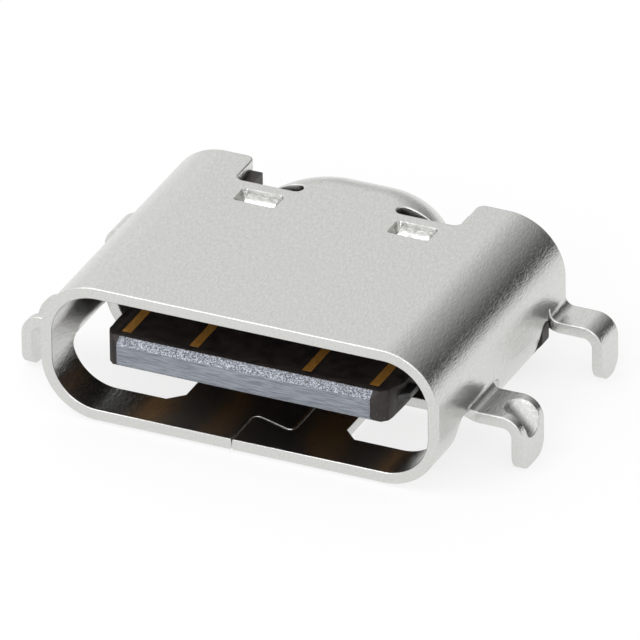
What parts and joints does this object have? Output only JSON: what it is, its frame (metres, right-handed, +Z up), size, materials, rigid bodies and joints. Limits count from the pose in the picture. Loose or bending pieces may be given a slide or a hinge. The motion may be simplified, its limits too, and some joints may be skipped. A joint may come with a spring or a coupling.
{
  "type": "usb-c socket",
  "caption": "Mid-mount USB-C power socket: folded steel shell with dovetailed seam, rounded back cover and bent through-board legs round a black tongue with gold contacts.",
  "frame": {"origin": "on the stand under the middle of the part, level with the tips of the four legs", "axes": "+X to the right looking into the mouth, +Y into the socket, +Z up from the board"},
  "size_m": [0.0112, 0.0074, 0.0031],
  "materials": {
    "shell_steel": "satin nickel on stainless sheet",
    "housing_black": "moulded, glass filled",
    "carrier_black": "moulded",
    "plate_steel": "stamped",
    "contact_gold": "gold plated"
  },
  "bodies": {
    "root": {"shell": "shell_steel", "housing": "housing_black", "terminal_carrier": "carrier_black", "mid_plate": "plate_steel", "ground_contact_left": "contact_gold", "ground_contact_right": "contact_gold", "power_contact_left": "contact_gold", "power_contact_right": "contact_gold", "signal_contact_top": "contact_gold", "signal_contact_bottom": "contact_gold"}
  },
  "joints": []
}
